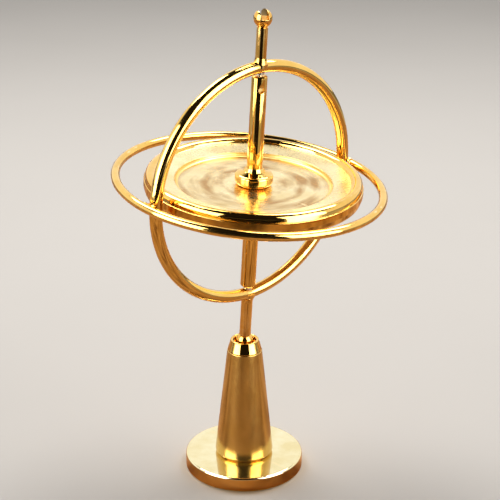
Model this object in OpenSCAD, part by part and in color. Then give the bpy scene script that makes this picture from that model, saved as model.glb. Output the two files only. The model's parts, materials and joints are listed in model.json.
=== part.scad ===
// Pull-string gyroscope top that stands on a conical pedestal.
// Millimetres, +Z up. The origin is the centre of the pedestal's flat underside.
// The gyroscope leans about the centre of its lower ball, which sits in the pedestal's cup.

/* [Pedestal] */
// Diameter of the base disc
base_d = 29.3; // [28:0.1:32]
// Thickness of the base disc
base_t = 3.65; // [3.5:0.05:4]
// Rounding of the base disc's top edge
base_edge = 0.5; // [0.3:0.1:0.8]
// Diameter of the cone at its foot
cone_foot_d = 14.4; // [13:0.1:16]
// Rounding under the cone's foot
cone_foot_round = 1.0; // [0.6:0.1:1.4]
// Diameter where the cone meets the cup's collar
cone_top_d = 8.6; // [8:0.1:9]
// Height of the cone's top face above the table
cone_top_z = 31.7; // [31:0.1:32.4]
// Height of the cup's rim above the table
cup_rim_z = 34.6; // [34.5:0.05:34.8]
// Diameter across the cup's rim
cup_rim_d = 7.0; // [6.6:0.1:7.2]
// Diameter of the hollow in the cup
cup_bore_d = 5.56; // [5.4:0.02:5.8]

/* [Pose] */
// Height of the lower ball's centre above the table
pivot_z = 34.2; // [34.1:0.05:34.3]
// Lean of the gyroscope away from upright, in degrees
lean = 4; // [0:0.5:10]
// Direction of the upright ring's plane, turned from +X towards +Y
ring_azimuth = 40; // [0:1:180]

/* [Rings] */
// Height of the rings' centre above the lower ball's centre
ring_height = 41.3; // [41:0.1:42]
// Radius of the upright ring to the middle of its wire
frame_ring_r = 28.4; // [28.3:0.05:28.6]
// Diameter of the upright ring's wire
frame_wire_d = 2.94; // [2.8:0.02:3]
// Radius of the level ring to the middle of its wire
outer_ring_r = 31.46; // [31.3:0.02:31.7]
// Diameter of the level ring's wire
outer_wire_d = 2.08; // [2:0.02:2.2]
// How far the level ring sits off the axle, as it is soldered
outer_ring_offset = 1.4; // [0:0.1:1.6]
// How far the level ring is out of square with the axle, in degrees
outer_ring_skew = 2.4; // [0:0.1:2.6]
// Direction of the line that the level ring is skewed about
outer_ring_skew_dir = 54; // [0:1:90]

/* [Posts and balls] */
// Diameter of the slotted ball on top
top_ball_d = 4.3; // [4:0.1:4.6]
// Height of the top ball's centre above the rings' centre
top_ball_height = 39.65; // [39:0.05:41]
// Width of the string slot across the top ball
slot_w = 1.8; // [0.9:0.1:1.9]
// Diameter of the upper post
upper_post_d = 2.6; // [2.4:0.05:2.8]
// Diameter of the ball that runs in the cup
lower_ball_d = 4.3; // [4.2:0.05:4.4]
// Diameter of the lower post
lower_post_d = 2.8; // [2.6:0.05:3]

/* [Rotor] */
// Diameter of the rotor
rotor_d = 51.36; // [50:0.1:52]
// Height of the cylindrical band round the rotor
band_h = 1.74; // [1.5:0.02:2]
// Radius to the middle of the round bead along each edge of the rotor
bead_ring_r = 24.1; // [24:0.05:24.3]
// Radius of the bead's section
bead_r = 1.3; // [1.2:0.05:1.35]
// Height of the middle of the bead's section above the rotor's middle
bead_z = 1.4; // [1.3:0.05:1.45]
// Height of the dished face where it meets the bead
dish_z = 1.62; // [1.5:0.02:1.8]
// Radius of the recess in each side of the rotor
recess_r = 18.45; // [17.5:0.05:19]
// Depth of the lower recess's edge below the rotor's middle
recess_edge_low = 1.45; // [1.3:0.05:1.6]
// Height of the recess's top edge above the rotor's middle
recess_edge_z = 0.82; // [0.6:0.02:0.9]
// Height of the web's upper face above the rotor's middle
web_top_z = -0.05; // [-0.1:0.01:0]
// Thickness of the web
web_t = 1.0; // [0.8:0.05:1.2]
// Diameter of the axle
axle_d = 3.65; // [3.4:0.05:3.8]
// Height of the axle's upper end above the rings' centre
axle_up = 26.4; // [26.2:0.05:26.5]
// Depth of the axle's lower end below the rings' centre
axle_down = 26.4; // [26.2:0.05:26.5]
// Diameter of the string hole through the axle
string_hole_d = 1.5; // [1.2:0.1:1.7]
// Distance of the string hole from the axle's upper end
string_hole_drop = 3.1; // [3.1:0.1:6]
// Diameter of each hub collar
hub_d = 9.0; // [8:0.1:10]
// Height of each hub collar
hub_h = 4.25; // [4:0.05:4.6]

/* [Hidden] */
$fn = 96;
cut = 1;
press_gap = 0.02;
run_gap = 0.05;
joint_gap = 0.05;
stud_d = 4;
stud_in_base = 2.4;
stud_in_cone = 7;
cup_spigot_d = 5.4;
cup_spigot_h = 3.6;
cup_floor_z = 31.55;
cup_collar_d = cone_top_d - 0.2;
post_spigot_d = 2.0;
ring_drill_d = post_spigot_d + 2 * press_gap;
bearing_in = 26.7;
bearing_out = 28.35;
pocket_end = 27.7;
pivot_d = 1.0;
pivot_sunk = 2.0;
pivot_straight = 27.25;
pivot_tip = 27.65;
pivot_tip_d = 0.3;
axle_edge = 0.3;
groove_w = 0.3;
groove_depth = 0.2;
slot_turn = 78;
slot_shift = 0.4;
string_hole_turn = 70;
post_flare = 0.9;
post_flare_low = 0.6;
post_flare_h = 1.5;
saddle = 0.2;
fit_gap = 0.05;
spigot_over = 0.5;
cup_floor_d = cup_bore_d - 2.6;
cup_floor_h = 1;
lap = 0.01;
groove_drop = 0.35;
top_ball_flat = sqrt(pow(top_ball_d, 2) - pow(upper_post_d, 2)) / 2;
ball_socket_z = -0.45;
ball_stub_gap = 0.5;
pocket_cone_h = 0.35;
pocket_tip_d = 0.2;
junction_r = (frame_ring_r + frame_wire_d / 2 + outer_ring_r - outer_wire_d / 2) / 2;
junction_tilt = outer_ring_skew * sin(outer_ring_skew_dir);
solder_waist_r = 0.8;
solder_fillet_r = 1.2;
solder_half = 0.75;
solder_blank_r = 1.5;
recess_slant = 0.3;
ledge_slope = 0.08;
web_ring_r = 11.1;
web_ring_w = 0.4;
web_ring_depth = 0.05;
web_bottom_z = web_top_z - web_t;
hub_edge = 0.8;
hub_low_edge = 1.3;
hub_body_h = 2.9;
hub_neck_z = 3.35;
hub_neck_wall = 0.6;
hub_tip_wall = 0.15;

// Places children in the leaning gyroscope: origin at the lower ball's centre, Z along the axle,
// X in the plane of the upright ring.
module in_gyro() {
    translate([0, 0, pivot_z])
        rotate([0, 0, ring_azimuth])
            rotate([lean, 0, 0])
                children();
}

// The same, with the origin at the rings' centre.
module at_rings() {
    in_gyro() translate([0, 0, ring_height]) children();
}

module ring(r, wire_d) {
    rotate_extrude() translate([r, 0]) circle(d = wire_d);
}

// A cylinder along Z between two heights.
module bar(d, z0, z1) {
    translate([0, 0, z0]) cylinder(d = d, h = z1 - z0);
}

module base_disc() {
    color("gold") difference() {
        rotate_extrude() difference() {
            union() {
                square([base_d / 2 - base_edge, base_t]);
                square([base_d / 2, base_t - base_edge]);
                translate([base_d / 2 - base_edge, base_t - base_edge]) circle(r = base_edge);
            }
            translate([-base_d, -cut]) square([base_d, base_t + 2 * cut]);
        }
        bar(stud_d + 2 * press_gap, base_t - stud_in_base, base_t + cut);
    }
}

module stand_cone() {
    foot_r = cone_foot_d / 2;
    foot_z = base_t + cone_foot_round;
    color("darkgoldenrod") difference() {
        rotate_extrude() union() {
            polygon([[0, foot_z], [foot_r, foot_z], [cone_top_d / 2, cone_top_z], [0, cone_top_z]]);
            square_from(base_t, foot_r - cone_foot_round);
            intersection() {
                translate([foot_r - cone_foot_round, foot_z]) circle(r = cone_foot_round);
                square_from(base_t, foot_r);
            }
        }
        bar(stud_d + 2 * press_gap, base_t - cut, base_t + stud_in_cone);
        bar(cup_spigot_d + 2 * joint_gap, cone_top_z - cup_spigot_h - joint_gap, cone_top_z + cut);
    }
}

// The part of the half plane between one height and the cone's foot.
module square_from(z0, r) {
    translate([0, z0]) square([r, cone_foot_round + lap]);
}

module stand_stud() {
    color("gray") bar(stud_d, base_t - stud_in_base, base_t + stud_in_cone);
}

// The polished cup: a spigot in the cone, a collar that carries on the cone's outline and a rim.
module stand_cup() {
    rim_r = cup_rim_d / 2;
    bore_r = cup_bore_d / 2;
    lip_r = (rim_r - bore_r) / 2;
    collar_z = cone_top_z + joint_gap;
    color("gold") difference() {
        rotate_extrude() union() {
            polygon([[0, collar_z], [cup_collar_d / 2, collar_z],
                [rim_r, cup_rim_z - lip_r], [0, cup_rim_z - lip_r]]);
            translate([0, cone_top_z - cup_spigot_h]) square([cup_spigot_d / 2, cup_spigot_h + cut]);
            translate([rim_r - lip_r, cup_rim_z - lip_r]) circle(r = lip_r);
        }
        bar(cup_bore_d, cup_floor_z + cup_floor_h, cup_rim_z + cut);
        translate([0, 0, cup_floor_z])
            cylinder(d1 = cup_floor_d, d2 = cup_bore_d, h = cup_floor_h + lap / 10);
    }
}

module lower_ball() {
    color("gold") translate([0, 0, pivot_z]) sphere(d = lower_ball_d);
}

// One post outside the upright ring: a spigot in the ring, a flared foot and a plain shaft.
// It runs from the ring towards +Z; length is measured from the rings' centre.
module post(d, length) {
    foot_z = frame_ring_r + frame_wire_d / 2;
    difference() {
        union() {
            bar(d, frame_ring_r, length);
            translate([0, 0, foot_z - post_flare_low])
                cylinder(d1 = d + post_flare, d2 = d, h = post_flare_h);
        }
        rotate([90, 0, 0]) ring(frame_ring_r, frame_wire_d);
        bar(2 * d, 0, frame_ring_r + saddle);
    }
    bar(post_spigot_d, bearing_out + fit_gap, foot_z + spigot_over);
}

module lower_post() {
    color("goldenrod") difference() {
        at_rings() mirror([0, 0, 1]) post(lower_post_d, ring_height - lower_ball_d / 4);
        translate([0, 0, pivot_z]) sphere(d = lower_ball_d + 2 * joint_gap);
    }
}

module frame_ring() {
    reach = frame_ring_r + frame_wire_d;
    color("gold") at_rings() difference() {
        rotate([90, 0, 0]) ring(frame_ring_r, frame_wire_d);
        bar(ring_drill_d, frame_ring_r - frame_wire_d, reach);
        bar(ring_drill_d, -reach, -frame_ring_r + frame_wire_d);
    }
}

// The level ring where it is soldered: a little off centre and out of square.
module outer_ring_place() {
    skew_axis = [cos(outer_ring_skew_dir), sin(outer_ring_skew_dir), 0];
    at_rings() translate([0, outer_ring_offset, 0]) rotate(outer_ring_skew, skew_axis)
        ring(outer_ring_r, outer_wire_d);
}

module outer_ring() {
    color("gold") outer_ring_place();
}

// The solder between the two rings on one side: a waisted plug that both wires bite into.
module ring_joint(side) {
    difference() {
        at_rings() rotate([0, junction_tilt + side * 90, 0]) rotate_extrude() difference() {
            translate([0, junction_r - solder_half])
                square([solder_blank_r, 2 * solder_half]);
            translate([solder_waist_r + solder_fillet_r, junction_r]) circle(r = solder_fillet_r);
        }
        at_rings() rotate([90, 0, 0]) ring(frame_ring_r, frame_wire_d);
        outer_ring_place();
    }
}

module front_ring_joint() {
    color("goldenrod") ring_joint(-1);
}

module rear_ring_joint() {
    color("goldenrod") ring_joint(1);
}

module upper_post() {
    top = top_ball_height - top_ball_flat;
    color("goldenrod") at_rings() {
        difference() {
            post(upper_post_d, top);
            translate([0, 0, top - groove_drop]) rotate_extrude()
                translate([upper_post_d / 2 - groove_depth, 0]) square([cut, groove_w]);
        }
        bar(upper_post_d / 2, top - groove_depth, top_ball_height - ball_stub_gap);
    }
}

module top_ball() {
    color("gold") at_rings() translate([0, 0, top_ball_height]) difference() {
        sphere(d = top_ball_d);
        bar(2 * top_ball_d, -top_ball_d, -top_ball_flat);
        bar(upper_post_d / 2 + 2 * press_gap, -top_ball_d, ball_socket_z);
        rotate([0, 0, slot_turn])
            translate([-top_ball_d, slot_shift - slot_w / 2, 0])
                cube([2 * top_ball_d, slot_w, top_ball_d]);
    }
}

// A bearing set into the ring from inside, with a pocket for the axle's point.
module bearing() {
    difference() {
        bar(post_spigot_d, bearing_in, bearing_out);
        bar(pivot_d + 2 * run_gap, bearing_in - cut, pocket_end);
        translate([0, 0, pocket_end])
            cylinder(d1 = pivot_d + 2 * run_gap, d2 = pocket_tip_d, h = pocket_cone_h);
    }
}

module upper_bearing() {
    color("silver") at_rings() bearing();
}

module lower_bearing() {
    color("silver") at_rings() mirror([0, 0, 1]) bearing();
}

module axle() {
    pin_bore_d = pivot_d + 2 * press_gap;
    color("goldenrod") at_rings() difference() {
        union() {
            bar(axle_d, -axle_down + axle_edge, axle_up - axle_edge);
            translate([0, 0, axle_up - axle_edge])
                cylinder(d1 = axle_d, d2 = axle_d - 2 * axle_edge, h = axle_edge);
            translate([0, 0, -axle_down])
                cylinder(d1 = axle_d - 2 * axle_edge, d2 = axle_d, h = axle_edge);
        }
        bar(pin_bore_d, axle_up - pivot_sunk, axle_up + cut);
        bar(pin_bore_d, -axle_down - cut, -axle_down + pivot_sunk);
        translate([0, 0, axle_up - string_hole_drop])
            rotate([0, 90, string_hole_turn]) cylinder(d = string_hole_d, h = 2 * axle_d, center = true);
    }
}

// A hardened point that stands out of one end of the axle.
module pivot(axle_end) {
    bar(pivot_d, axle_end - pivot_sunk, pivot_straight);
    translate([0, 0, pivot_straight])
        cylinder(d1 = pivot_d, d2 = pivot_tip_d, h = pivot_tip - pivot_straight);
}

module upper_pivot() {
    color("silver") at_rings() pivot(axle_up);
}

module lower_pivot() {
    color("silver") at_rings() mirror([0, 0, 1]) pivot(axle_down);
}

// The solid half of the rotor's section above its middle plane: the band, the bead on its edge and
// the dished face, which comes down to edge_z at the recess.
module rim_section(edge_z) {
    bore_r = axle_d / 2 + press_gap;
    ledge_z = band_h / 2;
    bead_out = bead_ring_r + bead_r;
    meet_r = bead_ring_r - sqrt(pow(bead_r, 2) - pow(dish_z - bead_z, 2));
    polygon([[bore_r, 0], [rotor_d / 2, 0], [rotor_d / 2, ledge_z - ledge_slope],
        [bead_out, ledge_z], [bead_out, bead_z], [bead_ring_r, dish_z],
        [meet_r, dish_z], [recess_r, edge_z], [bore_r, edge_z]]);
    translate([bead_ring_r, bead_z]) circle(r = bead_r);
}

// The recess between the web and the edge of the dished face, on the upper side.
module recess_section(web_z, edge_z) {
    inner = axle_d / 2 - cut;
    polygon([[inner, web_z], [recess_r - recess_slant, web_z], [recess_r, edge_z],
        [recess_r, edge_z + cut], [inner, edge_z + cut]]);
}

module rotor_disc() {
    color("khaki") at_rings() rotate_extrude() difference() {
        union() {
            rim_section(recess_edge_z);
            mirror([0, 1]) rim_section(recess_edge_low);
        }
        recess_section(web_top_z, recess_edge_z);
        mirror([0, 1]) recess_section(-web_bottom_z, recess_edge_low);
        translate([web_ring_r, web_top_z - web_ring_depth]) square([web_ring_w, cut]);
    }
}

// A collar on the axle that clamps the web: a rounded button with a short conical neck.
module hub_collar() {
    hub_r = hub_d / 2;
    edge_r = hub_r - hub_edge;
    foot_r = hub_r - hub_low_edge;
    rotate_extrude() difference() {
        union() {
            square([foot_r, hub_body_h]);
            translate([0, hub_low_edge]) square([edge_r, hub_body_h - hub_low_edge]);
            translate([0, hub_low_edge]) square([hub_r, hub_body_h - hub_edge - hub_low_edge]);
            translate([edge_r, hub_body_h - hub_edge]) circle(r = hub_edge);
            translate([foot_r, hub_low_edge]) circle(r = hub_low_edge);
            polygon([[0, hub_body_h], [edge_r, hub_body_h], [axle_d / 2 + hub_neck_wall, hub_neck_z],
                [axle_d / 2 + hub_tip_wall, hub_h], [0, hub_h]]);
        }
        translate([-cut, -cut]) square([cut + axle_d / 2 + press_gap, hub_h + 2 * cut]);
    }
}

module upper_hub_collar() {
    color("gold") at_rings() translate([0, 0, web_top_z]) hub_collar();
}

module lower_hub_collar() {
    color("gold") at_rings() translate([0, 0, web_bottom_z]) mirror([0, 0, 1]) hub_collar();
}

base_disc();
stand_cone();
stand_stud();
stand_cup();
lower_ball();
lower_post();
frame_ring();
outer_ring();
front_ring_joint();
rear_ring_joint();
upper_post();
top_ball();
upper_bearing();
lower_bearing();
axle();
upper_pivot();
lower_pivot();
rotor_disc();
upper_hub_collar();
lower_hub_collar();
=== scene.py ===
import json
import math

import bmesh
import bpy
from mathutils import Matrix, Vector, noise


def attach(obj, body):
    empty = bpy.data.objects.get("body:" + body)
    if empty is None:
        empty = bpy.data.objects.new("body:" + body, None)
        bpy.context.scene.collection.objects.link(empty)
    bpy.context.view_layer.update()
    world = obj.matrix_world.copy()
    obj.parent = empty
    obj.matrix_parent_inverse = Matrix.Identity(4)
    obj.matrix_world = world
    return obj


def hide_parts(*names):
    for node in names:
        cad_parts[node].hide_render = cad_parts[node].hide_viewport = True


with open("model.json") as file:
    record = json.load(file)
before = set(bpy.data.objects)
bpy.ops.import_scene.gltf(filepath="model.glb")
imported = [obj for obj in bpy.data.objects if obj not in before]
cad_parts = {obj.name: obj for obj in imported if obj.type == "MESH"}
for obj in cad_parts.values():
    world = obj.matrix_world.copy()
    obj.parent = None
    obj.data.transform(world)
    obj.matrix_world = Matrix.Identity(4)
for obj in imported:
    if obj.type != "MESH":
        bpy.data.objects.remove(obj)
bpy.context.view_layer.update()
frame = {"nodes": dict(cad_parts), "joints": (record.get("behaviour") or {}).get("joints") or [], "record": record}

# A gold gyroscope top on a conical pedestal. Everything is in metres. Places come from the packed
# joints, and outer sizes from the CAD nodes; MM and MICRON turn the details' sizes into metres.
MM = 0.001
MICRON = 0.000001
RECORD = frame["record"]
JOINTS = {joint["name"]: joint for joint in frame["joints"]}
BODY_OF = {node: body for body, nodes in RECORD["behaviour"]["bodies"].items() for node in nodes}


# ---------------------------------------------------------------- places and measures
def axes(origin, up, across):
    """The matrix of a place: its origin, Z along up and X as near to across as it can be."""
    z = Vector(up).normalized()
    y = z.cross(Vector(across)).normalized()
    turn = Matrix((y.cross(z), y, z)).transposed().to_4x4()
    return Matrix.Translation(Vector(origin)) @ turn


STAND = Matrix.Identity(4)
SPIN = JOINTS["rotor_spin"]
LEAN = JOINTS["lean"]
RINGS = axes(SPIN["pos_m"], SPIN["axis"], LEAN["axis"])
BALL = axes(LEAN["pos_m"], SPIN["axis"], LEAN["axis"])


def points_of(node, place):
    inverse = place.inverted()
    return [inverse @ vertex.co for vertex in frame["nodes"][node].data.vertices]


def reach(node, place):
    """A CAD node's largest radius about the place's Z axis, and its lowest and highest Z there."""
    points = points_of(node, place)
    heights = [p.z for p in points]
    return max(p.xy.length for p in points), min(heights), max(heights)


def ring_place(node, near):
    """The place of a wire ring, its radius to the middle of the wire, and the wire's radius.

    Two far points give the ring's rough normal. A few steps then turn it until the points lie
    evenly on both sides of the ring's plane.
    """
    points = points_of(node, near)
    centre = sum(points, Vector()) / len(points)
    rim = [p - centre for p in points]
    first = max(rim, key=lambda p: p.length)
    second = max(rim, key=lambda p: first.cross(p).length)
    normal = first.cross(second).normalized()
    steps = 4
    for _ in range(steps):
        lean = Vector()
        for p in rim:
            lean += p * p.dot(normal)
        flat = sum(p.length_squared for p in rim) / 2
        normal = (normal - lean / flat).normalized()
    if normal.z + normal.y < 0:
        normal.negate()
    ring = axes(centre, normal, Vector((1, 0, 0)))
    inverse = ring.inverted()
    rim = [inverse @ p for p in points]
    lows = [min(p[axis] for p in rim) for axis in range(3)]
    highs = [max(p[axis] for p in rim) for axis in range(3)]
    middle = Vector([(low + high) / 2 for low, high in zip(lows, highs)])
    wire = (highs[2] - lows[2]) / 2
    outer = ((highs[0] - lows[0]) + (highs[1] - lows[1])) / 4
    return near @ ring @ Matrix.Translation(middle), outer - wire, wire


# ---------------------------------------------------------------- turned pieces
class Section:
    """Half of a turned piece's section, as smooth runs. Each point has a normal and a material zone."""

    def __init__(self):
        self.runs = []

    def line(self, start, end, zone=0):
        """A straight run. The outside is on the right of the way from start to end."""
        way = (Vector(end) - Vector(start)).normalized()
        normal = (way.y, -way.x)
        self.runs.append([(start, normal, zone), (end, normal, zone)])
        return self

    def path(self, points, zone=0):
        """Straight runs from each point to the next."""
        for start, end in zip(points, points[1:]):
            self.line(start, end, zone)
        return self

    def arc(self, centre, radius, first, last, steps=12, zone=0):
        """Part of a circle between two angles in degrees: a rising angle bulges, a falling one
        hollows."""
        side = 1 if last > first else -1
        run = []
        for step in range(steps + 1):
            angle = math.radians(first + (last - first) * step / steps)
            ray = (math.cos(angle), math.sin(angle))
            point = (centre[0] + radius * ray[0], centre[1] + radius * ray[1])
            run.append((point, (side * ray[0], side * ray[1]), zone))
        self.runs.append(run)
        return self

    def end(self):
        """The point where the last run ends."""
        return self.runs[-1][-1][0]

    def flipped(self):
        """The same section turned upside down."""
        other = Section()
        for run in reversed(self.runs):
            other.runs.append([((p[0], -p[1]), (n[0], -n[1]), zone) for p, n, zone in reversed(run)])
        return other


def polar(centre, radius, angle):
    """The point of a circle at this angle in degrees."""
    turn = math.radians(angle)
    return centre[0] + radius * math.cos(turn), centre[1] + radius * math.sin(turn)


def new_object(name, mesh, place):
    piece = bpy.data.objects.new(name, mesh)
    bpy.context.scene.collection.objects.link(piece)
    piece.matrix_world = place
    return piece


WELD_DIGITS = 5


def lathe(name, section, place, materials, segments=192):
    """A mesh of the section turned about the place's Z axis, with exact smooth normals.

    Runs are welded where they share an end point.
    """
    rings = {}
    points = []
    faces = []
    zones = []
    normals = []
    turns = [(math.cos(2 * math.pi * s / segments), math.sin(2 * math.pi * s / segments))
             for s in range(segments)]

    def ring_at(point):
        key = (round(point[0] / MM, WELD_DIGITS), round(point[1] / MM, WELD_DIGITS))
        if key not in rings:
            rings[key] = len(points), key[0] > 0
            if key[0] > 0:
                points.extend((point[0] * c, point[0] * s, point[1]) for c, s in turns)
            else:
                points.append((0, 0, point[1]))
        return rings[key]

    for run in section.runs:
        for (p0, n0, zone), (p1, n1, _) in zip(run, run[1:]):
            first, wide0 = ring_at(p0)
            second, wide1 = ring_at(p1)
            if first == second:
                continue
            for step in range(segments):
                after = (step + 1) % segments
                corners = [(first + step * wide0, n0, step), (first + after * wide0, n0, after),
                           (second + after * wide1, n1, after), (second + step * wide1, n1, step)]
                if not wide0:
                    corners = corners[:1] + corners[2:]
                if not wide1:
                    corners = corners[:3]
                faces.append([index for index, _, _ in corners])
                zones.append(zone)
                for _, n, at in corners:
                    c, s = turns[at]
                    normals.append(Vector((n[0] * c, n[0] * s, n[1])).normalized())
    mesh = bpy.data.meshes.new(name)
    mesh.from_pydata(points, [], faces)
    for material in materials:
        mesh.materials.append(material)
    mesh.polygons.foreach_set("material_index", zones)
    mesh.polygons.foreach_set("use_smooth", [True] * len(faces))
    mesh.normals_split_custom_set(normals)
    return new_object(name, mesh, place)


def settle(piece, nodes):
    """The piece stands for these CAD nodes and takes their body.

    Its place goes into its mesh. The attribute turned keeps each point's radius, height and angle
    about the piece's own axis, for the materials.
    """
    mesh = piece.data
    turned = mesh.attributes.new("turned", "FLOAT_VECTOR", "POINT")
    for point, vertex in zip(turned.data, mesh.vertices):
        angle = math.atan2(vertex.co.y, vertex.co.x)
        point.vector = (vertex.co.xy.length, vertex.co.z, angle)
    normals = [piece.matrix_world.to_3x3() @ corner.vector for corner in mesh.corner_normals]
    mesh.transform(piece.matrix_world)
    mesh.normals_split_custom_set(normals)
    piece.matrix_world = Matrix.Identity(4)
    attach(piece, BODY_OF[nodes[0]])
    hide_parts(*nodes)
    return piece


BEVEL_FROM = math.radians(32)
SHARP_FROM = math.radians(50)


def cut_and_edge(piece, cutter, edge):
    """Cuts the cutter out of the piece, rounds the sharp edges and evens the normals."""
    cutter.hide_render = True
    tool = piece.modifiers.new("cut", "BOOLEAN")
    tool.operation = "DIFFERENCE"
    tool.solver = "EXACT"
    tool.object = cutter
    bevel = piece.modifiers.new("edges", "BEVEL")
    bevel.width = edge
    bevel.segments = 3
    bevel.limit_method = "ANGLE"
    bevel.angle_limit = BEVEL_FROM
    bevel.use_clamp_overlap = True
    depsgraph = bpy.context.evaluated_depsgraph_get()
    finished = bpy.data.meshes.new_from_object(piece.evaluated_get(depsgraph))
    piece.modifiers.clear()
    piece.data = finished
    finished.polygons.foreach_set("use_smooth", [True] * len(finished.polygons))
    finished.set_sharp_from_angle(angle=SHARP_FROM)
    bpy.data.objects.remove(cutter)
    return piece


# ---------------------------------------------------------------- materials
class Nodes:
    """A small helper that adds nodes to one material and links them."""

    def __init__(self, name):
        self.material = bpy.data.materials.new(name)
        self.material.use_nodes = True
        self.tree = self.material.node_tree
        self.shader = self.tree.nodes["Principled BSDF"]

    def add(self, kind, inputs=(), **settings):
        node = self.tree.nodes.new(kind)
        for key, value in settings.items():
            setattr(node, key, value)
        for key, value in dict(inputs).items():
            self.put(node.inputs[key], value)
        return node

    def put(self, socket, value):
        if isinstance(value, bpy.types.NodeSocket):
            self.tree.links.new(value, socket)
        else:
            socket.default_value = value

    def math(self, operation, first, second=0.0, clamp=False):
        node = self.add("ShaderNodeMath", {0: first, 1: second}, operation=operation, use_clamp=clamp)
        return node.outputs[0]

    def ramp(self, value, low, high, to_low=0.0, to_high=1.0):
        node = self.add("ShaderNodeMapRange",
                        {"Value": value, "From Min": low, "From Max": high,
                         "To Min": to_low, "To Max": to_high})
        return node.outputs[0]

    def noise(self, where, scale, detail=2.0, rough=0.5):
        node = self.add("ShaderNodeTexNoise",
                        {"Vector": where, "Scale": scale, "Detail": detail, "Roughness": rough})
        return node.outputs[0]

    def blend(self, share, first, second):
        node = self.add("ShaderNodeMix", data_type="RGBA")
        self.put(node.inputs["Factor"], share)
        self.put(node.inputs["A"], first)
        self.put(node.inputs["B"], second)
        return node.outputs["Result"]


WORN_GOLD = (0.98, 0.80, 0.46, 1)
# The brown of the web's streaks: painted colour, partly standing for dark reflections and partly for tarnish.
STREAK_BROWN = (0.50, 0.27, 0.075, 1)
DEEPER = (0.90, 0.84, 0.68)
SCRATCH_DEPTH = 0.35 * MICRON


def scratches(n, where):
    """Short marks that all run the same way."""
    laid = n.add("ShaderNodeMapping",
                 {"Vector": where, "Scale": (1, 9, 3), "Rotation": (0.4, 0.2, 0.9)})
    return n.noise(laid.outputs[0], 900.0, 3.0, 0.7)


def with_brown_streaks(n, colour, turned, strength):
    """Broad brown streaks over a turned face, laid out by its angle and radius. They are painted colour: partly
    dark reflections of a wavy polished face, partly tarnish.
    """
    radius_scale = 260.0
    angle = turned.outputs["Z"]
    radius = n.math("MULTIPLY", turned.outputs["X"], radius_scale)
    bent = n.add("ShaderNodeCombineXYZ",
                 {"X": n.math("SINE", angle), "Y": n.math("COSINE", angle), "Z": radius})
    streak_noise = n.noise(bent.outputs[0], 1.1, 2.5, 0.5)
    share = n.math("MULTIPLY", n.ramp(streak_noise, 0.44, 0.66), strength, clamp=True)
    return n.blend(share, colour, STREAK_BROWN)


def gold(name, tint, rough, lines=0.0, line_scale=9000.0, grain=0.0, smudge=0.05, wobble=0.0,
         wobble_scale=70.0, streaks=0.0):
    """Polished or satin plating, worn a little along its edges.

    lines, grain and wobble are depths in metres: of turned lines, a bead-blasted skin and slow
    waves. smudge is how much handled patches roughen, and streaks how strongly the brown streaks show, which are
    painted colour standing partly for dark reflections and partly for tarnish.
    """
    n = Nodes(name)
    where = n.add("ShaderNodeTexCoord").outputs["Object"]
    kept = n.add("ShaderNodeAttribute", attribute_name="turned").outputs["Vector"]
    turned = n.add("ShaderNodeSeparateXYZ", {"Vector": kept})
    along = n.add("ShaderNodeCombineXYZ", {"X": turned.outputs["X"], "Y": turned.outputs["Y"]})
    blotches = n.noise(where, 160.0, 3.0)
    clouds = n.noise(where, 650.0, 4.0, 0.6)
    marks = scratches(n, where)
    fine = n.noise(along.outputs[0], line_scale, 3.0, 0.7)
    wear = n.ramp(n.add("ShaderNodeNewGeometry").outputs["Pointiness"], 0.52, 0.60)
    wear = n.math("MULTIPLY", wear, n.ramp(clouds, 0.35, 0.65), clamp=True)

    shade = tuple(c * f for c, f in zip(tint, DEEPER)) + (1,)
    colour = n.blend(n.ramp(blotches, 0.35, 0.68), tint + (1,), shade)
    if streaks:
        # Brown streaks: partly painted reflection, partly tarnish.
        colour = with_brown_streaks(n, colour, turned, streaks)
    worn_share = 0.7
    colour = n.blend(n.math("MULTIPLY", wear, worn_share), colour, WORN_GOLD)
    n.put(n.shader.inputs["Base Color"], colour)
    n.shader.inputs["Metallic"].default_value = 1.0

    scratch_share = 0.8
    wear_rough = 0.08
    smoothest = 0.02
    smear = n.math("MULTIPLY", n.ramp(clouds, 0.42, 0.72), smudge)
    scratched = n.math("MULTIPLY", n.ramp(marks, 0.60, 0.75), smudge * scratch_share)
    worn_rough = n.math("MULTIPLY", wear, wear_rough)
    total = n.math("ADD", n.math("ADD", smear, scratched), n.math("ADD", worn_rough, rough))
    n.put(n.shader.inputs["Roughness"], n.math("MAXIMUM", total, smoothest))

    height = n.math("MULTIPLY", n.ramp(marks, 0.55, 0.8), SCRATCH_DEPTH)
    height = n.math("ADD", height, n.math("MULTIPLY", fine, lines))
    if grain:
        skin = n.noise(where, 5200.0, 2.0, 0.6)
        height = n.math("ADD", height, n.math("MULTIPLY", skin, grain))
    if wobble:
        waves = n.noise(where, wobble_scale, 1.0)
        height = n.math("ADD", height, n.math("MULTIPLY", waves, wobble))
    bump = n.add("ShaderNodeBump", {"Height": height, "Distance": 1.0, "Strength": 1.0})
    n.put(n.shader.inputs["Normal"], bump.outputs[0])
    return n.material


TINT = (0.93, 0.60, 0.17)
PALE = (0.93, 0.84, 0.56)
RING_GOLD = gold("ring_gold", TINT, 0.07, smudge=0.04, wobble=4.0 * MICRON)
POST_GOLD = gold("post_gold", (0.88, 0.52, 0.13), 0.05, lines=0.2 * MICRON, smudge=0.05)
HUB_GOLD = gold("hub_gold", TINT, 0.04, lines=0.1 * MICRON)
AXLE_GOLD = gold("axle_gold", (0.90, 0.55, 0.13), 0.06, lines=0.5 * MICRON, line_scale=5000.0)
CUP_GOLD = gold("cup_gold", TINT, 0.045, lines=0.2 * MICRON)
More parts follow.
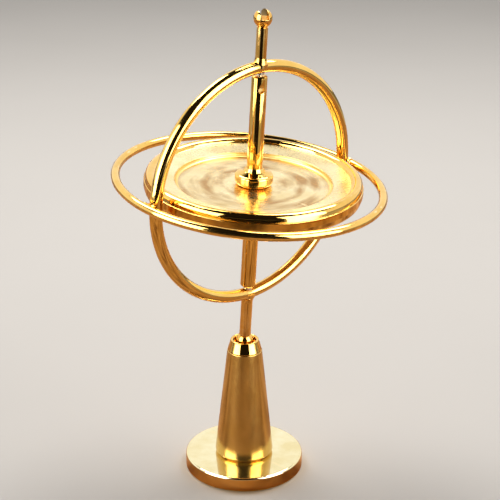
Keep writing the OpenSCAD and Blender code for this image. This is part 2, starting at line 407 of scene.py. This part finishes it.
# The base's top takes a paler tint than its side: a painted sheen of the bright wall that the polished top
# mirrors.
BASE_TOP_SHEEN = gold("base_gold", PALE, 0.07, lines=0.5 * MICRON, line_scale=4000.0, smudge=0.06)
BASE_SIDE = gold("base_side_gold", (0.88, 0.55, 0.18), 0.12, lines=1.0 * MICRON, line_scale=3000.0)
SATIN_GOLD = gold("satin_gold", (0.66, 0.44, 0.14), 0.19, grain=1.2 * MICRON, smudge=0.07)
ROTOR_GOLD = gold("rotor_gold", TINT, 0.05, lines=0.1 * MICRON, smudge=0.03)
# The dished face and the web take a paler gold than the rest of the rotor: a painted sheen of the white light
# these upward faces mirror. Their higher roughness is the real satin finish.
ROTOR_DISH_SHEEN = gold("rotor_dish_painted_sheen", (0.95, 0.80, 0.48), 0.27, lines=0.7 * MICRON,
                   line_scale=4000.0, smudge=0.04)
ROTOR_WEB_SHEEN = gold("rotor_web_painted_sheen", (0.94, 0.78, 0.46), 0.17, lines=0.4 * MICRON,
                 line_scale=3500.0, smudge=0.12, wobble=60.0 * MICRON, wobble_scale=90.0,
                 streaks=1.0)
ROTOR_STEP = gold("rotor_step_gold", (0.93, 0.66, 0.24), 0.30, lines=1.2 * MICRON,
                  line_scale=5000.0)
ROTOR_BAND = gold("rotor_band_gold", (0.88, 0.50, 0.10), 0.10, lines=0.8 * MICRON,
                  line_scale=5000.0)
SOLDER_GOLD = gold("solder_gold", (0.84, 0.48, 0.12), 0.16, grain=3.0 * MICRON, smudge=0.14)


def steel():
    """Ground steel for the hidden pieces that keep their CAD meshes."""
    line_depth = 0.6 * MICRON
    grey = (0.56, 0.54, 0.50, 1)
    dark_grey = (0.42, 0.40, 0.37, 1)
    worn_grey = (0.76, 0.74, 0.70, 1)
    n = Nodes("hard_steel")
    where = n.add("ShaderNodeTexCoord").outputs["Object"]
    clouds = n.noise(where, 900.0, 4.0, 0.6)
    laid = n.add("ShaderNodeMapping", {"Vector": where, "Scale": (1, 1, 6)})
    fine = n.noise(laid.outputs[0], 6000.0, 3.0)
    wear = n.ramp(n.add("ShaderNodeNewGeometry").outputs["Pointiness"], 0.52, 0.62)
    colour = n.blend(n.ramp(clouds, 0.3, 0.7), grey, dark_grey)
    n.put(n.shader.inputs["Base Color"], n.blend(wear, colour, worn_grey))
    n.shader.inputs["Metallic"].default_value = 1.0
    n.put(n.shader.inputs["Roughness"], n.ramp(clouds, 0.3, 0.75, 0.16, 0.34))
    bump = n.add("ShaderNodeBump", {"Height": n.math("MULTIPLY", fine, line_depth), "Distance": 1.0})
    n.put(n.shader.inputs["Normal"], bump.outputs[0])
    return n.material


HARD_STEEL = steel()


# ---------------------------------------------------------------- pedestal
def make_base():
    radius, low, high = reach("base_disc", STAND)
    edge = 0.5 * MM
    foot = 0.25 * MM
    top, side = 0, 1
    section = Section()
    section.line((0, low), (radius - foot, low), side)
    section.arc((radius - foot, low + foot), foot, -90, 0, 6, side)
    section.line((radius, low + foot), (radius, high - edge), side)
    section.arc((radius - edge, high - edge), edge, 0, 90, 12, top)
    section.line((radius - edge, high), (0, high), top)
    # The top's paler material is a painted sheen; the side keeps the plain gold.
    settle(lathe("base", section, STAND, [BASE_TOP_SHEEN, BASE_SIDE], 256), ["base_disc"])


def make_cone():
    foot_r, low, high = reach("stand_cone", STAND)
    near_top = 0.1 * MM
    top_r = max(p.xy.length for p in points_of("stand_cone", STAND) if p.z > high - near_top)
    foot_round = 1.0 * MM
    lip = 0.2 * MM
    slope = math.degrees(math.atan2(foot_r - top_r, high - low - foot_round))
    foot_centre = (foot_r - foot_round, low + foot_round)
    lip_centre = (top_r - lip, high - lip)
    section = Section()
    section.line((0, low), (foot_centre[0], low))
    section.arc(foot_centre, foot_round, -90, slope, 12)
    section.line(polar(foot_centre, foot_round, slope), polar(lip_centre, lip, slope))
    section.arc(lip_centre, lip, slope, 90, 6)
    section.line((lip_centre[0], high), (0, high))
    settle(lathe("cone", section, STAND, [SATIN_GOLD], 192), ["stand_cone"])


def make_cup():
    near_wall = 0.1 * MM
    near_rim = 0.5 * MM
    inside = 1.0 * MM
    points = points_of("stand_cup", STAND)
    widest, low, high = reach("stand_cup", STAND)
    collar_low = min(p.z for p in points if p.xy.length > widest - near_wall)
    rim_radii = [p.xy.length for p in points if p.z > high - near_rim]
    rim_r = max(rim_radii)
    bore_r = min(rim_radii)
    hollow = [p.z for p in points if p.xy.length < bore_r - inside and p.z > collar_low - inside]
    floor_z = min(hollow)
    floor_r = bore_r - 1.3 * MM
    wall_z = floor_z + 1.0 * MM
    spigot_r = 2.7 * MM
    edge = 0.15 * MM
    lip = (rim_r - bore_r) / 2
    lean = math.atan2(widest - rim_r, high - lip - collar_low)
    slope = math.degrees(lean)
    collar_edge = (widest - edge + edge * math.cos(lean), collar_low + edge)
    lip_foot = (rim_r - lip + lip * math.cos(lean), high - lip)
    section = Section()
    section.path([(0, low), (spigot_r, low), (spigot_r, collar_low), (widest - edge, collar_low)])
    section.arc((widest - edge, collar_low + edge), edge, -90, slope, 6)
    section.line(collar_edge, lip_foot)
    section.arc((rim_r - lip, high - lip), lip, slope, 180, 16)
    section.path([(bore_r, high - lip), (bore_r, wall_z), (floor_r, floor_z), (0, floor_z)])
    settle(lathe("cup", section, STAND, [CUP_GOLD], 160), ["stand_cup"])


# ---------------------------------------------------------------- balls and posts
def ball_section(radius):
    return Section().arc((0, 0), radius, -90, 90, 48)


def make_lower_ball():
    radius = reach("lower_ball", BALL)[2]
    settle(lathe("lower_ball_piece", ball_section(radius), BALL, [POST_GOLD], 96), ["lower_ball"])


FRAME_PLACE, FRAME_R, FRAME_WIRE = ring_place("frame_ring", RINGS)
LEVEL_PLACE, LEVEL_R, LEVEL_WIRE = ring_place("outer_ring", RINGS)


def post_section(shaft, tip):
    """A post without its end face: a flared foot inside the ring's wire, then a plain shaft."""
    flare = 0.45 * MM
    flare_h = 1.5 * MM
    sunk = 0.6 * MM
    foot = shaft + flare
    ring_top = FRAME_R + FRAME_WIRE - sunk
    hollow = (flare_h ** 2 + flare ** 2) / (2 * flare)
    last = math.degrees(math.asin(flare_h / hollow))
    section = Section()
    section.path([(0, FRAME_R), (foot, FRAME_R), (foot, ring_top)])
    section.arc((shaft + hollow, ring_top + flare_h), hollow, 180 + last, 180, 10)
    section.line((shaft, ring_top + flare_h), (shaft, tip))
    return section


def make_upper_post():
    """The upper post ends in a thin neck, which leaves a groove under the ball."""
    shaft = 1.30 * MM
    groove_w = 0.3 * MM
    groove_deep = 0.2 * MM
    neck = shaft - groove_deep
    top = reach("upper_post", RINGS)[2]
    groove = reach("top_ball", RINGS)[1] - groove_w
    section = post_section(shaft, groove)
    section.path([(shaft, groove), (neck, groove), (neck, top), (0, top)])
    settle(lathe("upper_post_piece", section, RINGS, [POST_GOLD], 96), ["upper_post"])


def make_lower_post():
    shaft = 1.40 * MM
    tip = -reach("lower_post", RINGS)[1]
    section = post_section(shaft, tip)
    section.line((shaft, tip), (0, tip))
    settle(lathe("lower_post_piece", section.flipped(), RINGS, [POST_GOLD], 96), ["lower_post"])


# ---------------------------------------------------------------- rings and solder
def wire_ring(name, node, place, radius, wire):
    """A round wire, a hair thinner than the CAD node's so that it stays inside the CAD box."""
    skin = 0.01 * MM
    section = Section().arc((radius, 0), wire - skin, -180, 180, 48)
    settle(lathe(name, section, place, [RING_GOLD], 320), [node])


def make_rings():
    wire_ring("upright_ring", "frame_ring", FRAME_PLACE, FRAME_R, FRAME_WIRE)
    wire_ring("level_ring", "outer_ring", LEVEL_PLACE, LEVEL_R, LEVEL_WIRE)


def make_solder(name, node, seed):
    """A waisted plug of solder from one wire to the other, with a slightly uneven skin."""
    points = points_of(node, RINGS)
    centre = sum(points, Vector()) / len(points)
    place = RINGS @ axes(centre, centre, Vector((0, 0, 1)))
    half = 0.90 * MM
    waist = 0.85 * MM
    sweep = 1.3 * MM
    lump_scale = 900.0
    lump_share = 0.10
    mouth = math.degrees(math.asin(half / sweep))
    end_r = waist + sweep - sweep * math.cos(math.radians(mouth))
    section = Section()
    section.line((0, -half), (end_r, -half))
    section.arc((waist + sweep, 0), sweep, 180 + mouth, 180 - mouth, 20)
    section.line((end_r, half), (0, half))
    piece = lathe(name, section, place, [SOLDER_GOLD], 64)
    for vertex in piece.data.vertices:
        push = noise.noise(vertex.co * lump_scale + Vector((seed, 0, 0)))
        vertex.co += Vector((vertex.co.x, vertex.co.y, 0)) * lump_share * push
    settle(piece, [node])


# ---------------------------------------------------------------- top ball
def slot_cutter(radius, half_width, shift, place):
    """A block across the whole ball, from its middle up, for the string slot."""
    shape = bmesh.new()
    bmesh.ops.create_cube(shape, size=2.0)
    for vertex in shape.verts:
        x, y, z = vertex.co
        vertex.co = (x * 2 * radius, y * half_width + shift, (z + 1) * radius)
    mesh = bpy.data.meshes.new("slot")
    shape.to_mesh(mesh)
    shape.free()
    return new_object("slot", mesh, place)


def make_top_ball():
    points = points_of("top_ball", RINGS)
    radius = 2.15 * MM
    half_slot = 0.9 * MM
    slot_shift = 0.4 * MM
    slot_turn = math.radians(78)
    edge = 0.10 * MM
    highest = math.sqrt(radius ** 2 - (half_slot - slot_shift) ** 2)
    middle = max(p.z for p in points) - highest
    flat = min(p.z for p in points) - middle
    start = math.degrees(math.asin(flat / radius))
    place = RINGS @ Matrix.Translation((0, 0, middle))
    section = Section()
    section.line((0, flat), polar((0, 0), radius, start))
    section.arc((0, 0), radius, start, 90, 48)
    ball = lathe("top_ball_piece", section, place, [POST_GOLD], 112)
    slot_place = place @ Matrix.Rotation(slot_turn, 4, "Z")
    cutter = slot_cutter(radius, half_slot, slot_shift, slot_place)
    settle(cut_and_edge(ball, cutter, edge), ["top_ball"])


# ---------------------------------------------------------------- rotor
BEAD = 1.3 * MM
BEAD_CENTRE = (24.1 * MM, 1.4 * MM)
DISH_Z = 1.62 * MM
BEAD_MEET = math.degrees(math.asin((DISH_Z - BEAD_CENTRE[1]) / BEAD))
BEAD_MEET_R = BEAD_CENTRE[0] - BEAD * math.cos(math.radians(BEAD_MEET))
BEAD_FACE, DISHED_FACE, WEB_FACE, STEP_FACE, BAND_FACE = range(5)
# The dished face's and the web's paler materials carry a painted sheen.
ROTOR_FACES = [ROTOR_GOLD, ROTOR_DISH_SHEEN, ROTOR_WEB_SHEEN, ROTOR_STEP, ROTOR_BAND]


def bead_run(rim, outer):
    """From the middle of the band, over the ledge and round the bead to the crease behind it."""
    band = 0.87 * MM
    edge = 0.11 * MM
    ledge = 0.04 * MM
    ledge_turn = 75
    tuck = 0.04 * MM
    draft = 10
    short_of_meet = 7
    crease_turn = 180 - BEAD_MEET - short_of_meet
    corner = band - ledge - edge
    rim.line((outer, 0), (outer, corner), BAND_FACE)
    rim.arc((outer - edge, corner), edge, 0, ledge_turn, 6, BEAD_FACE)
    wall_top = polar(BEAD_CENTRE, BEAD, draft)
    wall_r = wall_top[0] + (wall_top[1] - band - tuck) * math.tan(math.radians(draft))
    rim.line(rim.end(), (wall_r + tuck, band), BEAD_FACE)
    rim.arc((wall_r + tuck, band + tuck), tuck, -90, -180, 4, BEAD_FACE)
    rim.line((wall_r, band + tuck), wall_top, BEAD_FACE)
    rim.arc(BEAD_CENTRE, BEAD, draft, crease_turn, 56, BEAD_FACE)


def dish_run(rim, edge_z, web_z):
    """From the bead's crease, over the dished face and its lip, and down to the web."""
    recess_r = 18.45 * MM
    lip = 0.16 * MM
    crease_gap = 0.15 * MM
    crease_r = 0.15 * MM
    crease_start = -8
    dish = math.degrees(math.atan2(DISH_Z - edge_z, BEAD_MEET_R - recess_r))
    slope = math.radians(dish)
    crease = rim.end()
    rim.arc((crease[0] - crease_gap, crease[1]), crease_r, crease_start, -90 + dish, 5, BEAD_FACE)
    lip_top = (recess_r + lip, edge_z + lip * math.tan(slope))
    rim.line(rim.end(), lip_top, DISHED_FACE)
    centre = (lip_top[0] - lip * math.sin(slope), lip_top[1] - lip * math.cos(slope))
    rim.arc(centre, lip, 90 + dish, 180, 8, STEP_FACE)
    sweep = edge_z - lip - web_z
    rim.arc((centre[0] - lip - sweep, web_z + sweep), sweep, 0, -90, 14, STEP_FACE)


def rotor_half(outer, edge_z, web_z):
    """One half of the rotor's section, from the middle of its band to the web's outer end."""
    rim = Section()
    bead_run(rim, outer)
    dish_run(rim, edge_z, web_z)
    return rim


def make_rotor():
    """The upper recess is the deeper one, and has a fine groove in its web."""
    outer = reach("rotor_disc", RINGS)[0]
    upper_edge = 0.82 * MM
    lower_edge = 1.45 * MM
    web_top = -0.05 * MM
    web_low = web_top - 1.0 * MM
    bore = 1.84 * MM
    groove_in = 11.1 * MM
    groove_half = 0.2 * MM
    groove_up = 1.2 * MM
    groove_r = 1.217 * MM
    groove_turn = 9.46
    groove_mid = groove_in + groove_half
    upper = rotor_half(outer, upper_edge, web_top)
    upper.line(upper.end(), (groove_mid + groove_half, web_top), WEB_FACE)
    upper.arc((groove_mid, web_top + groove_up), groove_r,
              -90 + groove_turn, -90 - groove_turn, 6, WEB_FACE)
    upper.line((groove_in, web_top), (bore, web_top), WEB_FACE)
    lower = rotor_half(outer, lower_edge, -web_low)
    lower.line(lower.end(), (bore, -web_low), WEB_FACE)
    section = lower.flipped()
    section.runs.extend(upper.runs)
    section.line((bore, web_top), (bore, web_low), BEAD_FACE)
    settle(lathe("rotor", section, RINGS, ROTOR_FACES, 384), ["rotor_disc"])


def hub_section(bore, low, high, wide):
    """A hub collar on the web: a rounded button with a sloping top and a conical neck."""
    edge = 0.8 * MM
    low_edge = 1.3 * MM
    round_in = 0.25 * MM
    shelf = low + 2.9 * MM
    neck_r = bore + 0.57 * MM
    neck_z = low + 3.35 * MM
    tip_r = bore + 0.12 * MM
    slope = math.atan2(neck_z - shelf, wide - edge - neck_r)
    section = Section()
    section.line((bore, low), (wide - low_edge, low))
    section.arc((wide - low_edge, low + low_edge), low_edge, -90, 0, 16)
    section.line((wide, low + low_edge), (wide, shelf - edge))
    section.arc((wide - edge, shelf - edge), edge, 0, 90 - math.degrees(slope), 14)
    section.path([section.end(),
                  (neck_r + round_in, neck_z - round_in * math.tan(slope)),
                  (neck_r, neck_z + round_in / 2),
                  (tip_r, high),
                  (bore, high),
                  (bore, low)])
    return section


def make_hub(name, node, turned_over):
    bore = 1.86 * MM
    wide, low, high = reach(node, RINGS)
    if turned_over:
        section = hub_section(bore, -high, -low, wide).flipped()
    else:
        section = hub_section(bore, low, high, wide)
    settle(lathe(name, section, RINGS, [HUB_GOLD], 128), [node])


def string_drill(half_length, height):
    """The drill for the string hole, which crosses the axle at this height."""
    hole = 0.75 * MM
    hole_turn = math.radians(70)
    drill = Section()
    drill.path([(0, -half_length), (hole, -half_length), (hole, half_length), (0, half_length)])
    turn = RINGS @ Matrix.Translation((0, 0, height)) @ Matrix.Rotation(hole_turn, 4, "Z")
    return lathe("drill", drill, turn @ Matrix.Rotation(math.pi / 2, 4, "Y"), [AXLE_GOLD], 48)


def make_axle():
    """The axle's ends are pocketed for the points, and its upper end is drilled for the string."""
    radius, low, high = reach("axle", RINGS)
    edge = 0.3 * MM
    pin = 0.52 * MM
    sunk = 2.0 * MM
    drop = 3.1 * MM
    hole_edge = 0.10 * MM
    section = Section()
    section.path([(0, low + sunk), (pin, low + sunk), (pin, low), (radius - edge, low),
                  (radius, low + edge), (radius, high - edge), (radius - edge, high),
                  (pin, high), (pin, high - sunk), (0, high - sunk)])
    axle = lathe("axle_piece", section, RINGS, [AXLE_GOLD], 128)
    cutter = string_drill(2 * radius, high - drop)
    settle(cut_and_edge(axle, cutter, hole_edge), ["axle"])


def make_steel_parts():
    """The hidden stud, bearings and points keep their CAD meshes and only take a new material."""
    for node in ("stand_stud", "upper_bearing", "lower_bearing", "upper_pivot", "lower_pivot"):
        materials = frame["nodes"][node].data.materials
        materials.clear()
        materials.append(HARD_STEEL)


# ---------------------------------------------------------------- the studio
ROOM_DARK = (0.012, 0.010, 0.008, 1)
ROOM_PALE = (1.10, 1.10, 1.08, 1)


LAMP_WHITE = (1.0, 0.99, 0.97)


def area_light(name, where, aim, width, height, power):
    lamp = bpy.data.lights.new(name, "AREA")
    lamp.shape = "RECTANGLE"
    lamp.size = width
    lamp.size_y = height
    lamp.energy = power
    lamp.color = LAMP_WHITE
    holder = bpy.data.objects.new(name, lamp)
    bpy.context.scene.collection.objects.link(holder)
    holder.visible_camera = False
    holder.location = where
    holder.rotation_euler = (Vector(aim) - Vector(where)).to_track_quat("-Z", "Y").to_euler()
    return holder


def make_lights():
    """Two softboxes overhead light everything; two panels in front only show in the metal."""
    overhead_power = 2.6
    panel_power = 2.4
    for side, name in ((-1, "left"), (1, "right")):
        area_light(f"{name}_overhead", (side * 0.215, 0.215, 0.55), (side * 0.05, 0.02, 0.07),
                   0.26, 0.28, overhead_power)
        panel = area_light(f"{name}_front", (side * 0.31, -0.22, 0.215), (0, 0, 0.15),
                           0.32, 0.43, panel_power)
        panel.visible_diffuse = False


def make_world():
    """A soft room: pale behind the object and at its sides, dark in front and overhead."""
    world = bpy.data.worlds.new("room")
    world.use_nodes = True
    bpy.context.scene.world = world
    tree = world.node_tree
    way = tree.nodes.new("ShaderNodeTexCoord").outputs["Generated"]
    split = tree.nodes.new("ShaderNodeSeparateXYZ")
    tree.links.new(way, split.inputs[0])

    def fade(value, low, high, to_low, to_high):
        node = tree.nodes.new("ShaderNodeMapRange")
        node.interpolation_type = "SMOOTHSTEP"
        tree.links.new(value, node.inputs["Value"])
        for key, number in (("From Min", low), ("From Max", high), ("To Min", to_low), ("To Max", to_high)):
            node.inputs[key].default_value = number
        return node.outputs[0]

    def join(operation, first, second):
        node = tree.nodes.new("ShaderNodeMath")
        node.operation = operation
        tree.links.new(first, node.inputs[0])
        tree.links.new(second, node.inputs[1])
        return node.outputs[0]

    aside = tree.nodes.new("ShaderNodeMath")
    aside.operation = "ABSOLUTE"
    tree.links.new(split.outputs["X"], aside.inputs[0])
    wall_starts, wall_full = -0.15, 0.35
    side_starts, side_full = 0.62, 0.85
    dark_starts, dark_full = 0.60, 0.80
    behind = fade(split.outputs["Y"], wall_starts, wall_full, 0.0, 1.0)
    beside = fade(aside.outputs[0], side_starts, side_full, 0.0, 1.0)
    below = fade(split.outputs["Z"], dark_starts, dark_full, 1.0, 0.0)
    share = join("MULTIPLY", join("MAXIMUM", behind, beside), below)
    tone = tree.nodes.new("ShaderNodeMix")
    tone.data_type = "RGBA"
    tree.links.new(share, tone.inputs["Factor"])
    tone.inputs["A"].default_value = ROOM_DARK
    tone.inputs["B"].default_value = ROOM_PALE
    tree.links.new(tone.outputs["Result"], tree.nodes["Background"].inputs["Color"])


def matt_sheet(name, corners, height, colour):
    """A matt sheet at this height. colour works out its base colour from the material's nodes."""
    n = Nodes(name)
    n.put(n.shader.inputs["Base Color"], colour(n))
    n.shader.inputs["Roughness"].default_value = 1.0
    n.shader.inputs["Specular IOR Level"].default_value = 0.0
    mesh = bpy.data.meshes.new(name)
    mesh.from_pydata([(x, y, height) for x, y in corners], [], [range(len(corners))])
    mesh.materials.append(n.material)
    sheet = new_object(name, mesh, STAND)
    return sheet


def make_floor():
    """A plain pale floor. It is matt, so that it shows nothing of the cards that lie on it."""
    side = 4.0
    pale = (0.50, 0.475, 0.45, 1)
    less_pale = (0.46, 0.435, 0.41, 1)

    def colour(n):
        where = n.add("ShaderNodeTexCoord").outputs["Object"]
        return n.blend(n.noise(where, 6.0, 3.0, 0.6), pale, less_pale)

    matt_sheet("floor", [(-side, -side), (side, -side), (side, side), (-side, side)], 0, colour)


def make_card(name, corners, light, dark):
    """A card on the floor that only reflections see: polished metal needs something dark below."""
    lift = 0.0003

    def colour(n):
        where = n.add("ShaderNodeTexCoord").outputs["Object"]
        laid = n.add("ShaderNodeMapping", {"Vector": where, "Scale": (3, 14, 1)})
        grain = n.noise(laid.outputs[0], 4.0, 4.0)
        return n.blend(n.ramp(grain, 0.36, 0.64), light, dark)

    card = matt_sheet(name, corners, lift, colour)
    card.visible_camera = False
    card.visible_shadow = False
    card.visible_diffuse = False


def make_cards():
    """A brown card under the object, and a dark wedge from its front edge towards the camera."""
    near, far, side = 0.17, 1.4, 0.34
    spread = math.tan(math.radians(31))
    make_card("brown_card", [(-side, -near), (side, -near), (side, side), (-side, side)],
              (0.56, 0.36, 0.22, 1), (0.17, 0.085, 0.045, 1))
    wedge = [(-near * spread, -near), (-far * spread, -far),
             (far * spread, -far), (near * spread, -near)]
    make_card("dark_card", wedge, (0.02, 0.017, 0.014, 1), (0.01, 0.008, 0.006, 1))


def make_camera():
    """The camera looks down at the object from in front, a third of a metre away."""
    place = (0, -0.3162, 0.18135)
    yaw, pitch, roll = 0.0036, 0.3722, 0.0073
    lens = bpy.data.cameras.new("camera")
    lens.sensor_width = 36.0
    lens.lens = 101.95
    lens.clip_start = 0.01
    holder = bpy.data.objects.new("camera", lens)
    bpy.context.scene.collection.objects.link(holder)
    level = math.cos(pitch)
    ahead = Vector((math.sin(yaw) * level, math.cos(yaw) * level, -math.sin(pitch)))
    right = Vector((math.cos(yaw), -math.sin(yaw), 0))
    up = right.cross(ahead)
    across = right * math.cos(roll) + up * math.sin(roll)
    upward = up * math.cos(roll) - right * math.sin(roll)
    turn = Matrix((across, upward, -ahead)).transposed().to_4x4()
    holder.matrix_world = Matrix.Translation(place) @ turn
    bpy.context.scene.camera = holder


bpy.context.scene.view_settings.view_transform = "Standard"
make_camera()
make_world()
make_floor()
make_lights()
make_cards()

make_base()
make_cone()
make_cup()
make_lower_ball()
make_upper_post()
make_lower_post()
make_rings()
make_solder("front_solder", "front_ring_joint", 3.0)
make_solder("rear_solder", "rear_ring_joint", 8.0)
make_top_ball()
make_rotor()
make_hub("upper_hub", "upper_hub_collar", False)
make_hub("lower_hub", "lower_hub_collar", True)
make_axle()
make_steel_parts()
